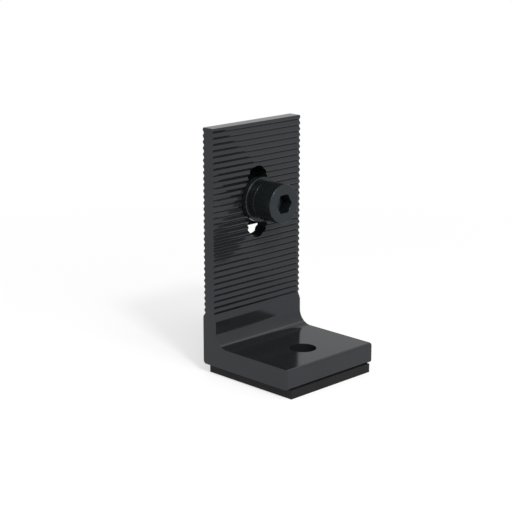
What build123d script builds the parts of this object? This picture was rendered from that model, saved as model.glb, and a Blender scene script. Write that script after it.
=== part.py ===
"""L-shaped roof foot with a rubber pad, a clamping screw, two washers and a slot nut.

Millimetres, +Z up.  The origin is the centre of the pad's underside, the leg stands
at the +Y end and the toe points along -Y.
"""
import math
import os

from build123d import *

# ---- extruded foot ---------------------------------------------------------------
WIDTH = 40.0            # length of the cut extrusion, along X
HEIGHT = 79.3           # underside of the foot to the top of the leg
DEPTH = 38.9            # back face of the leg to the toe
LEG_T = 6.0             # plain thickness of the leg
BASE_T = 6.8            # thickness of the foot plate
FILLET_R = 5.0          # inner corner
HEEL_R = 1.1            # back bottom corner
TOE_R = 0.9             # both edges of the toe
TOP_C = 0.3             # edge break at the top of the leg

# ---- serrations on both faces of the leg -----------------------------------------
PITCH = 2.0
TEETH = 31
FIRST_TIP = 18.6        # height of the lowest tip above the underside
TIP_IN = 0.49           # tips lie this far inside the plain faces
VALLEY_IN = 1.03        # valleys lie this far inside the plain faces
TIP_FLAT = 0.14
VALLEY_FLAT = 0.18
FIRST_VALLEY = 17.7
BACK_RAMP = 16.3        # the plain face ends here and runs in to the first valley
FRONT_RAMP = 15.5

# ---- slot and hole ---------------------------------------------------------------
SLOT_W = 8.8
SLOT_L = 24.1
SLOT_MID = 52.75        # above the underside of the foot
HOLE_D = 9.0
HOLE_FROM_BACK = 26.3   # hole axis to the back face of the leg

# ---- rubber pad ------------------------------------------------------------------
PAD = 37.5
PAD_T = 3.0
PAD_SETBACK = 1.7       # rear edge of the pad to the back face of the leg

# ---- screw, washers and nut ------------------------------------------------------
SCREW_Z = 53.75         # screw axis above the underside of the foot
SHANK_R = 3.95
ROOT_R = 3.35
THREAD_PITCH = 1.25
SHANK_L = 20.0
HEAD_R = 6.5
HEAD_L = 7.75
HEAD_ROUND = 0.4
SOCKET_AF = 6.0
SOCKET_DEPTH = 4.2
WASHER_R = 7.5
WASHER_HOLE_R = 4.2
WASHER_T = 2.0
WASHER_ROUND = 0.3
LOCK_R = 6.35
LOCK_HOLE_R = 4.1
LOCK_T = 2.35
LOCK_GAP = 1.0
LOCK_ROUND = 0.25
NUT_X = 20.0
NUT_Z = 20.0
NUT_T = 6.0
NUT_C = 1.0
NUT_HOLE_R = 4.0

# ---- derived positions -----------------------------------------------------------
Z0 = PAD_T
Z_TOP = Z0 + HEIGHT
Z_PLATE = Z0 + BASE_T
Y_BACK = PAD / 2.0 + PAD_SETBACK
Y_FRONT = Y_BACK - LEG_T
Y_TOE = Y_BACK - DEPTH
Y_HOLE = Y_BACK - HOLE_FROM_BACK
Y_TIP_FRONT = Y_FRONT + TIP_IN
Y_TIP_BACK = Y_BACK - TIP_IN
Z_SCREW = Z0 + SCREW_Z


def tooth_line(ramp_start):
    """Height and inset of each corner of one serrated face, from the bottom up."""
    line = [(Z0 + ramp_start, 0.0), (Z0 + FIRST_VALLEY, VALLEY_IN)]
    half_tip = TIP_FLAT / 2.0
    half_valley = VALLEY_FLAT / 2.0
    for k in range(TEETH):
        tip = Z0 + FIRST_TIP + k * PITCH
        line.append((tip - half_tip, TIP_IN))
        line.append((tip + half_tip, TIP_IN))
        if k < TEETH - 1:
            valley = tip + PITCH / 2.0
            line.append((valley - half_valley, VALLEY_IN))
            line.append((valley + half_valley, VALLEY_IN))
    return line


def arc(start, centre, radius, degrees):
    """Arc in the X = -WIDTH / 2 plane from start through the given direction."""
    angle = math.radians(degrees)
    middle = (centre[0] + radius * math.cos(angle), centre[1] + radius * math.sin(angle))
    a = (-WIDTH / 2.0, start[0][0], start[0][1])
    b = (-WIDTH / 2.0, middle[0], middle[1])
    c = (-WIDTH / 2.0, start[1][0], start[1][1])
    return ThreePointArc(a, b, c).edges()


def run(points):
    """Straight edges through the given (y, z) points."""
    return Polyline(*[(-WIDTH / 2.0, y, z) for y, z in points]).edges()


def foot_profile():
    """Closed outline of the extrusion."""
    back = [(Y_BACK - inset, z) for z, inset in tooth_line(BACK_RAMP)]
    front = [(Y_FRONT + inset, z) for z, inset in reversed(tooth_line(FRONT_RAMP))]
    edges = []
    edges += run([(Y_TOE + TOE_R, Z0), (Y_BACK - HEEL_R, Z0)])
    heel = ((Y_BACK - HEEL_R, Z0), (Y_BACK, Z0 + HEEL_R))
    edges += arc(heel, (Y_BACK - HEEL_R, Z0 + HEEL_R), HEEL_R, -45)
    top = [(Y_TIP_BACK - TOP_C, Z_TOP), (Y_TIP_FRONT + TOP_C, Z_TOP)]
    corner = [(Y_FRONT, Z_PLATE + FILLET_R)]
    edges += run([(Y_BACK, Z0 + HEEL_R)] + back + top + front + corner)
    inner = ((Y_FRONT, Z_PLATE + FILLET_R), (Y_FRONT - FILLET_R, Z_PLATE))
    edges += arc(inner, (Y_FRONT - FILLET_R, Z_PLATE + FILLET_R), FILLET_R, -45)
    edges += run([(Y_FRONT - FILLET_R, Z_PLATE), (Y_TOE + TOE_R, Z_PLATE)])
    upper = ((Y_TOE + TOE_R, Z_PLATE), (Y_TOE, Z_PLATE - TOE_R))
    edges += arc(upper, (Y_TOE + TOE_R, Z_PLATE - TOE_R), TOE_R, 135)
    edges += run([(Y_TOE, Z_PLATE - TOE_R), (Y_TOE, Z0 + TOE_R)])
    lower = ((Y_TOE, Z0 + TOE_R), (Y_TOE + TOE_R, Z0))
    edges += arc(lower, (Y_TOE + TOE_R, Z0 + TOE_R), TOE_R, 225)
    return Face(Wire(edges))


def along_y(radius, y_low, y_high, z, x=0.0):
    """Cylinder along Y."""
    middle = (y_low + y_high) / 2.0
    solid = Cylinder(radius, y_high - y_low, rotation=(90, 0, 0))
    return Pos(x, middle, z) * solid


def make_l_foot():
    """The extruded foot with its slot and hole."""
    body = extrude(foot_profile(), amount=WIDTH, dir=(1, 0, 0))
    low = Y_FRONT - 2.0
    high = Y_BACK + 2.0
    reach = (SLOT_L - SLOT_W) / 2.0
    middle = Z0 + SLOT_MID
    slot = Pos(0, (low + high) / 2.0, middle) * Box(SLOT_W, high - low, 2.0 * reach)
    slot += along_y(SLOT_W / 2.0, low, high, middle + reach)
    slot += along_y(SLOT_W / 2.0, low, high, middle - reach)
    hole = Pos(0, Y_HOLE, Z0 + BASE_T / 2.0) * Cylinder(HOLE_D / 2.0, BASE_T + 4.0)
    return body - slot - hole


def make_rubber_pad():
    """Square sealing pad under the foot, pierced below the foot's hole."""
    pad = Pos(0, 0, PAD_T / 2.0) * Box(PAD, PAD, PAD_T)
    return pad - Pos(0, Y_HOLE, PAD_T / 2.0) * Cylinder(HOLE_D / 2.0, PAD_T + 2.0)


def turned(points):
    """Solid turned about the screw axis from (radius, y) points."""
    outline = Polyline(*[(r, y, Z_SCREW) for r, y in points], close=True)
    return revolve(Face(Wire(outline.edges())), Axis((0, 0, Z_SCREW), (0, 1, 0)), 360)


def rounded(radius, y, size, inward):
    """Points of a rounded outer edge at (radius, y), from the face to the side; inward is +1 or -1 along Y."""
    points = []
    for step in range(5):
        angle = math.radians(22.5 * step)
        r = radius - size + size * math.sin(angle)
        points.append((r, y + inward * size * (1.0 - math.cos(angle))))
    return points


WASHER_BACK = Y_TIP_FRONT
WASHER_FRONT = WASHER_BACK - WASHER_T
LOCK_FRONT = WASHER_FRONT - LOCK_T
HEAD_BACK = LOCK_FRONT
HEAD_FRONT = HEAD_BACK - HEAD_L
SHANK_END = HEAD_BACK + SHANK_L
NUT_FRONT = Y_TIP_BACK


def thread_points():
    """Ring grooves of the thread, from under the head to the tip."""
    points = []
    y = HEAD_BACK + 3.0
    while y + THREAD_PITCH < SHANK_END - 0.9:
        points.append((SHANK_R, y))
        points.append((ROOT_R, y + 0.45 * THREAD_PITCH))
        points.append((ROOT_R, y + 0.60 * THREAD_PITCH))
        points.append((SHANK_R, y + 0.95 * THREAD_PITCH))
        y += THREAD_PITCH
    return points


def make_cap_screw():
    """Socket head cap screw."""
    outline = [(0.0, HEAD_FRONT)] + rounded(HEAD_R, HEAD_FRONT, HEAD_ROUND, 1)
    outline += [(HEAD_R, HEAD_BACK - 0.15), (HEAD_R - 0.15, HEAD_BACK), (SHANK_R, HEAD_BACK)]
    outline += thread_points()
    outline += [(SHANK_R, SHANK_END - 0.8), (SHANK_R - 0.8, SHANK_END), (0.0, SHANK_END)]
    screw = turned(outline)
    hexagon = RegularPolygon(SOCKET_AF / math.sqrt(3.0), 6, rotation=0)
    mouth = Plane((0, HEAD_FRONT, Z_SCREW), x_dir=(1, 0, 0), z_dir=(0, 1, 0))
    socket = extrude(mouth * hexagon, amount=SOCKET_DEPTH)
    reach = SOCKET_AF / 2.0
    drill = turned([(0.0, HEAD_FRONT), (reach, HEAD_FRONT), (reach, HEAD_FRONT + SOCKET_DEPTH),
                    (0.0, HEAD_FRONT + SOCKET_DEPTH + 1.2)])
    edge = reach + 0.12
    lead = turned([(0.0, HEAD_FRONT - 1.0), (edge + 1.0, HEAD_FRONT - 1.0), (0.0, HEAD_FRONT + edge)])
    return screw - socket - drill - lead


def make_flat_washer():
    """Flat washer that bears on the tips of the serrations."""
    front = rounded(WASHER_R, WASHER_FRONT, WASHER_ROUND, 1)
    back = rounded(WASHER_R, WASHER_BACK, WASHER_ROUND, -1)
    inner = [(WASHER_HOLE_R, WASHER_BACK), (WASHER_HOLE_R, WASHER_FRONT)]
    return turned(front + back[::-1] + inner)


def make_spring_washer():
    """Split lock washer, pressed flat, with its slanted gap low on the +X side."""
    front = rounded(LOCK_R, LOCK_FRONT, LOCK_ROUND, 1)
    back = rounded(LOCK_R, WASHER_FRONT, LOCK_ROUND, -1)
    inner = [(LOCK_HOLE_R, WASHER_FRONT), (LOCK_HOLE_R, LOCK_FRONT)]
    ring = turned(front + back[::-1] + inner)
    blade = Pos(LOCK_R, 0, 0) * Box(2.0 * LOCK_R, 3.0 * LOCK_T, LOCK_GAP)
    middle = (LOCK_FRONT + WASHER_FRONT) / 2.0
    blade = Pos(0, middle, Z_SCREW) * Rot(0, 50, 0) * Rot(25, 0, 0) * blade
    return ring - blade


def make_slot_nut():
    """Plain slot nut behind the leg."""
    middle = NUT_FRONT + NUT_T / 2.0
    block = Box(NUT_X, NUT_T, NUT_Z)
    block = chamfer(block.edges().filter_by(Axis.Y), NUT_C)
    nut = Pos(0, middle, Z_SCREW) * block
    return nut - along_y(NUT_HOLE_R, NUT_FRONT - 1.0, NUT_FRONT + NUT_T + 1.0, Z_SCREW)


PIECES = {
    "l_foot": make_l_foot,
    "rubber_pad": make_rubber_pad,
    "cap_screw": make_cap_screw,
    "flat_washer": make_flat_washer,
    "spring_washer": make_spring_washer,
    "slot_nut": make_slot_nut,
}

os.makedirs("parts", exist_ok=True)
for name, make in PIECES.items():
    shape = make()
    export_step(shape, "parts/" + name + ".step")
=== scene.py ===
"""Dark anodised roof foot with its rubber pad and clamping screw, on a pale studio floor."""
import math

import bpy
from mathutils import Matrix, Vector


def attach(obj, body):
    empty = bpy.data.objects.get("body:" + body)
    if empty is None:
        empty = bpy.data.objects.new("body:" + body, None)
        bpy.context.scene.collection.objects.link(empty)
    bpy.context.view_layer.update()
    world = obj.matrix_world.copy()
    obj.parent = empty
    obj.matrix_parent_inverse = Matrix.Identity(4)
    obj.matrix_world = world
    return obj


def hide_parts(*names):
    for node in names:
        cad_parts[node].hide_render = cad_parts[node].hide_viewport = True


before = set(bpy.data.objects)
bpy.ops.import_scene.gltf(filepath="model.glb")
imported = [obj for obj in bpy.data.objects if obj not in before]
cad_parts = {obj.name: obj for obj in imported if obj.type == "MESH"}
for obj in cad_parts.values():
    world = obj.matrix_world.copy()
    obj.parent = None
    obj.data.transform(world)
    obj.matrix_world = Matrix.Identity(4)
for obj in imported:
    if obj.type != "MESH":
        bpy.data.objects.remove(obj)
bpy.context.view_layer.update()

# Finishes: darkest and lightest colour, and smoothest and roughest surface.
ALUMINIUM_DARK = (0.033, 0.0353, 0.0395, 1.0)
ALUMINIUM_LIGHT = (0.037, 0.0393, 0.0435, 1.0)
ALUMINIUM_ROUGHNESS = (0.10, 0.16)
RUBBER_DARK = (0.007, 0.007, 0.0075, 1.0)
RUBBER_LIGHT = (0.010, 0.010, 0.0107, 1.0)
RUBBER_ROUGHNESS = (0.60, 0.75)
STEEL_DARK = (0.027, 0.032, 0.035, 1.0)
STEEL_LIGHT = (0.030, 0.036, 0.039, 1.0)
STEEL_ROUGHNESS = (0.14, 0.22)
WHITE = (1.0, 1.0, 1.0, 1.0)

# Noise values span this range, which is stretched to the whole of each finish.
NOISE_LOW = 0.3
NOISE_HIGH = 0.7

# Edges sharper than this are eased, and the merging distances are in metres.
EASED_ANGLE = math.radians(30.0)
MERGE_DISTANCE = 0.000001
FLAT_ANGLE = math.radians(0.2)

# The run-in below the serrations turns by 25 degrees and stays a crisp line.
FOOT_SMOOTH_ANGLE = math.radians(18.0)
SMOOTH_ANGLE = math.radians(32.0)

# Strength of the white surroundings and of the far floor as sources of light.
WORLD_LIGHT = 0.45
FAR_FLOOR_LIGHT = 0.6

# The floor: shadow-keeping near the part, plain white from FADE_END metres on.
FLOOR_SIZE = 6.0
FLOOR_GREY = (0.55, 0.55, 0.55, 1.0)
FLOOR_GLOW = 0.53
FADE_START = 0.06
FADE_END = 0.30

# The lamps and the camera, in metres, watts and degrees.
LAMP_AIM = (0.0, 0.0, 0.04)
KEY_PLACE = (-0.27, -0.66, 0.75)
SIDE_PLACE = (0.75, -0.04, 0.80)
CAMERA_AZIMUTH = math.radians(-44.78)
CAMERA_ELEVATION = math.radians(14.72)
CAMERA_AIM = Vector((-0.0090, 0.00685, 0.0403))
CAMERA_DISTANCE = 0.471
CAMERA_LENS = 101.9


def node_tree(name):
    """A material with its output node only: the material, its node tree and the output."""
    material = bpy.data.materials.new(name)
    material.use_nodes = True
    tree = material.node_tree
    tree.nodes.clear()
    out = tree.nodes.new("ShaderNodeOutputMaterial")
    return material, tree, out


def object_coordinates(tree, scale):
    """Object coordinates times scale, so that a pattern can be stretched along an axis."""
    coordinates = tree.nodes.new("ShaderNodeTexCoord")
    mapping = tree.nodes.new("ShaderNodeMapping")
    mapping.inputs["Scale"].default_value = scale
    tree.links.new(coordinates.outputs["Object"], mapping.inputs["Vector"])
    return mapping.outputs["Vector"]


def noise(tree, scale, detail):
    """A noise value over the part, with scale cells to the metre along each axis."""
    texture = tree.nodes.new("ShaderNodeTexNoise")
    texture.inputs["Scale"].default_value = 1.0
    texture.inputs["Detail"].default_value = detail
    tree.links.new(object_coordinates(tree, scale), texture.inputs["Vector"])
    return texture.outputs["Fac"]


def spread(tree, value, ends):
    """Maps a noise value to the range between two ends."""
    ramp = tree.nodes.new("ShaderNodeMapRange")
    ramp.inputs["From Min"].default_value = NOISE_LOW
    ramp.inputs["From Max"].default_value = NOISE_HIGH
    ramp.inputs["To Min"].default_value = ends[0]
    ramp.inputs["To Max"].default_value = ends[1]
    tree.links.new(value, ramp.inputs["Value"])
    return ramp.outputs["Result"]


def blended(tree, value, dark, light):
    """A colour between dark and light, by a noise value."""
    ramp = tree.nodes.new("ShaderNodeValToRGB")
    ramp.color_ramp.elements[0].position = NOISE_LOW
    ramp.color_ramp.elements[0].color = dark
    ramp.color_ramp.elements[1].position = NOISE_HIGH
    ramp.color_ramp.elements[1].color = light
    tree.links.new(value, ramp.inputs["Fac"])
    return ramp.outputs["Color"]


def bumped(tree, value, strength, distance):
    """A bump normal from a height value."""
    bump = tree.nodes.new("ShaderNodeBump")
    bump.inputs["Strength"].default_value = strength
    bump.inputs["Distance"].default_value = distance
    tree.links.new(value, bump.inputs["Height"])
    return bump.outputs["Normal"]


def finish(tree, shader, out, colour, roughness, normal):
    """Joins a colour, a roughness and a normal to the shader, and the shader to the output."""
    tree.links.new(colour, shader.inputs["Base Color"])
    tree.links.new(roughness, shader.inputs["Roughness"])
    tree.links.new(normal, shader.inputs["Normal"])
    tree.links.new(shader.outputs["BSDF"], out.inputs["Surface"])


def anodised_aluminium():
    """Black anodised extrusion, glossy, with faint die lines along its length."""
    material, tree, out = node_tree("anodised_aluminium")
    shader = tree.nodes.new("ShaderNodeBsdfPrincipled")
    shader.inputs["Metallic"].default_value = 0.6
    shader.inputs["Specular Tint"].default_value = (0.56, 0.56, 0.56, 1.0)
    shader.inputs["IOR"].default_value = 1.45
    lines = noise(tree, (8.0, 900.0, 900.0), 3.0)
    cloud = noise(tree, (60.0, 60.0, 60.0), 2.0)
    finish(
        tree, shader, out,
        blended(tree, cloud, ALUMINIUM_DARK, ALUMINIUM_LIGHT),
        spread(tree, lines, ALUMINIUM_ROUGHNESS),
        bumped(tree, lines, 0.15, 0.00001),
    )
    return material


def pad_rubber():
    """Matt black rubber with a fine pebbled skin."""
    material, tree, out = node_tree("pad_rubber")
    shader = tree.nodes.new("ShaderNodeBsdfPrincipled")
    shader.inputs["Metallic"].default_value = 0.0
    shader.inputs["IOR"].default_value = 1.28
    grain = noise(tree, (1500.0, 1500.0, 1500.0), 4.0)
    cloud = noise(tree, (120.0, 120.0, 120.0), 3.0)
    finish(
        tree, shader, out,
        blended(tree, cloud, RUBBER_DARK, RUBBER_LIGHT),
        spread(tree, grain, RUBBER_ROUGHNESS),
        bumped(tree, grain, 0.3, 0.00003),
    )
    return material


def blackened_steel():
    """Black finished steel of the screw, washers and nut."""
    material, tree, out = node_tree("blackened_steel")
    shader = tree.nodes.new("ShaderNodeBsdfPrincipled")
    shader.inputs["Metallic"].default_value = 0.72
    shader.inputs["Specular Tint"].default_value = (0.7, 0.7, 0.7, 1.0)
    shader.inputs["IOR"].default_value = 1.45
    cloud = noise(tree, (400.0, 400.0, 400.0), 4.0)
    grain = noise(tree, (3000.0, 3000.0, 3000.0), 2.0)
    finish(
        tree, shader, out,
        blended(tree, cloud, STEEL_DARK, STEEL_LIGHT),
        spread(tree, grain, STEEL_ROUGHNESS),
        bumped(tree, grain, 0.1, 0.00001),
    )
    return material


def merge_triangles():
    """Joins the active piece's loose triangles and clears the lines across its flat faces."""
    bpy.ops.object.mode_set(mode="EDIT")
    bpy.ops.mesh.select_all(action="SELECT")
    bpy.ops.mesh.remove_doubles(threshold=MERGE_DISTANCE)
    bpy.ops.mesh.dissolve_limited(angle_limit=FLAT_ANGLE)
    bpy.ops.mesh.normals_make_consistent(inside=False)
    bpy.ops.object.mode_set(mode="OBJECT")


def ease_edges(piece, width):
    """Rounds the active piece's sharp edges by width metres."""
    bevel = piece.modifiers.new("eased_edges", "BEVEL")
    bevel.width = width
    bevel.segments = 2
    bevel.limit_method = "ANGLE"
    bevel.angle_limit = EASED_ANGLE
    bevel.use_clamp_overlap = True
    bpy.ops.object.modifier_apply(modifier=bevel.name)


def smooth_curves(piece, angle):
    """Shades the active piece smooth, with edges above angle sharp and large faces level."""
    bpy.ops.object.shade_smooth()
    bpy.ops.object.mode_set(mode="EDIT")
    bpy.ops.mesh.select_mode(type="EDGE")
    bpy.ops.mesh.select_all(action="DESELECT")
    bpy.ops.mesh.edges_select_sharp(sharpness=angle)
    bpy.ops.mesh.mark_sharp()
    bpy.ops.object.mode_set(mode="OBJECT")
    weighted = piece.modifiers.new("level_faces", "WEIGHTED_NORMAL")
    weighted.mode = "FACE_AREA"
    weighted.weight = 50
    weighted.keep_sharp = True
    bpy.ops.object.modifier_apply(modifier=weighted.name)


def finished_copy(node, name, material, edge, smooth_angle=SMOOTH_ANGLE):
    """A merged copy of a part, its edges eased by edge metres, which stands in for the part."""
    piece = bpy.data.objects.new(name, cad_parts[node].data.copy())
    bpy.context.scene.collection.objects.link(piece)
    piece.data.name = name
    piece.data.materials.clear()
    piece.data.materials.append(material)
    bpy.ops.object.select_all(action="DESELECT")
    piece.select_set(True)
    bpy.context.view_layer.objects.active = piece
    merge_triangles()
    ease_edges(piece, edge)
    smooth_curves(piece, smooth_angle)
    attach(piece, "root")
    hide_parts(node)


def dress_parts():
    """Gives each part its finish and its eased edges."""
    aluminium = anodised_aluminium()
    rubber = pad_rubber()
    steel = blackened_steel()
    finished_copy(
        "l_foot", "foot_extrusion", aluminium, 0.00008, FOOT_SMOOTH_ANGLE
    )
    finished_copy("rubber_pad", "sealing_pad", rubber, 0.00012)
    finished_copy("cap_screw", "socket_screw", steel, 0.00006)
    finished_copy("flat_washer", "plain_washer", steel, 0.00005)
    finished_copy("spring_washer", "lock_washer", steel, 0.00005)
    finished_copy("slot_nut", "channel_nut", steel, 0.0002)


def studio_white(tree, strength_else):
    """1 for what the camera and glossy or clear surfaces see, strength_else for other rays."""
    path = tree.nodes.new("ShaderNodeLightPath")
    first = tree.nodes.new("ShaderNodeMath")
    first.operation = "MAXIMUM"
    second = tree.nodes.new("ShaderNodeMath")
    second.operation = "MAXIMUM"
    tree.links.new(path.outputs["Is Camera Ray"], first.inputs[0])
    tree.links.new(path.outputs["Is Glossy Ray"], first.inputs[1])
    tree.links.new(first.outputs[0], second.inputs[0])
    tree.links.new(path.outputs["Is Transmission Ray"], second.inputs[1])
    level = tree.nodes.new("ShaderNodeMapRange")
    level.inputs["To Min"].default_value = strength_else
    level.inputs["To Max"].default_value = 1.0
    tree.links.new(second.outputs[0], level.inputs["Value"])
    return level.outputs["Result"]


def studio_world():
    """White surroundings, dimmer as a source of light than to look at."""
    world = bpy.data.worlds.new("studio")
    world.use_nodes = True
    tree = world.node_tree
    tree.nodes.clear()
    out = tree.nodes.new("ShaderNodeOutputWorld")
    background = tree.nodes.new("ShaderNodeBackground")
    background.inputs["Color"].default_value = WHITE
    tree.links.new(studio_white(tree, WORLD_LIGHT), background.inputs["Strength"])
    tree.links.new(background.outputs["Background"], out.inputs["Surface"])
    bpy.context.scene.world = world


def near_floor(tree):
    """A pale surface with a glow of its own, on which the shadow stays visible."""
    diffuse = tree.nodes.new("ShaderNodeBsdfDiffuse")
    diffuse.inputs["Color"].default_value = FLOOR_GREY
    glow = tree.nodes.new("ShaderNodeEmission")
    glow.inputs["Color"].default_value = WHITE
    glow.inputs["Strength"].default_value = FLOOR_GLOW
    both = tree.nodes.new("ShaderNodeAddShader")
    tree.links.new(diffuse.outputs["BSDF"], both.inputs[0])
    tree.links.new(glow.outputs["Emission"], both.inputs[1])
    return both.outputs["Shader"]


def far_floor(tree):
    """The white that the floor fades in to."""
    white = tree.nodes.new("ShaderNodeEmission")
    white.inputs["Color"].default_value = WHITE
    tree.links.new(studio_white(tree, FAR_FLOOR_LIGHT), white.inputs["Strength"])
    return white.outputs["Emission"]


def distance_fade(tree):
    """0 near the origin and 1 from FADE_END metres on."""
    coordinates = tree.nodes.new("ShaderNodeTexCoord")
    distance = tree.nodes.new("ShaderNodeVectorMath")
    distance.operation = "LENGTH"
    tree.links.new(coordinates.outputs["Object"], distance.inputs[0])
    fade = tree.nodes.new("ShaderNodeMapRange")
    fade.interpolation_type = "SMOOTHSTEP"
    fade.inputs["From Min"].default_value = FADE_START
    fade.inputs["From Max"].default_value = FADE_END
    tree.links.new(distance.outputs["Value"], fade.inputs["Value"])
    return fade.outputs["Result"]


def pale_floor():
    """A wide pale floor that keeps the shadow."""
    bpy.ops.mesh.primitive_plane_add(size=FLOOR_SIZE, location=(0.0, 0.0, 0.0))
    floor = bpy.context.active_object
    floor.name = "floor"
    floor.data.name = "floor"
    material, tree, out = node_tree("floor_white")
    joined = tree.nodes.new("ShaderNodeMixShader")
    tree.links.new(distance_fade(tree), joined.inputs["Fac"])
    tree.links.new(near_floor(tree), joined.inputs[1])
    tree.links.new(far_floor(tree), joined.inputs[2])
    tree.links.new(joined.outputs["Shader"], out.inputs["Surface"])
    floor.data.materials.append(material)


def soft_lamp(name, place, size, power):
    """A square area lamp at place that points at the part."""
    bpy.ops.object.light_add(type="AREA", location=place)
    lamp = bpy.context.active_object
    lamp.name = name
    lamp.data.shape = "SQUARE"
    lamp.data.size = size
    lamp.data.energy = power
    aim = Vector(LAMP_AIM) - Vector(place)
    lamp.rotation_euler = aim.to_track_quat("-Z", "Y").to_euler()


def studio_lamps():
    """A broad key lamp, a faint one for the fillet and a small one for the rims."""
    soft_lamp("key_lamp", KEY_PLACE, 0.80, 4.8)
    soft_lamp("side_lamp", SIDE_PLACE, 0.25, 0.15)
    soft_lamp("rim_lamp", KEY_PLACE, 0.12, 3.2)


def product_camera():
    """A long lens three quarters from the front, just above the part."""
    away = Vector((
        math.sin(CAMERA_AZIMUTH) * math.cos(CAMERA_ELEVATION),
        -math.cos(CAMERA_AZIMUTH) * math.cos(CAMERA_ELEVATION),
        math.sin(CAMERA_ELEVATION),
    ))
    bpy.ops.object.camera_add(location=CAMERA_AIM + CAMERA_DISTANCE * away)
    camera = bpy.context.active_object
    camera.name = "product_camera"
    camera.data.lens = CAMERA_LENS
    camera.data.sensor_width = 36.0
    camera.data.clip_start = 0.01
    camera.data.clip_end = 20.0
    camera.rotation_euler = (-away).to_track_quat("-Z", "Y").to_euler()
    bpy.context.scene.camera = camera


bpy.ops.object.select_all(action="DESELECT")
dress_parts()
studio_world()
pale_floor()
studio_lamps()
product_camera()
bpy.context.scene.view_settings.view_transform = "Standard"
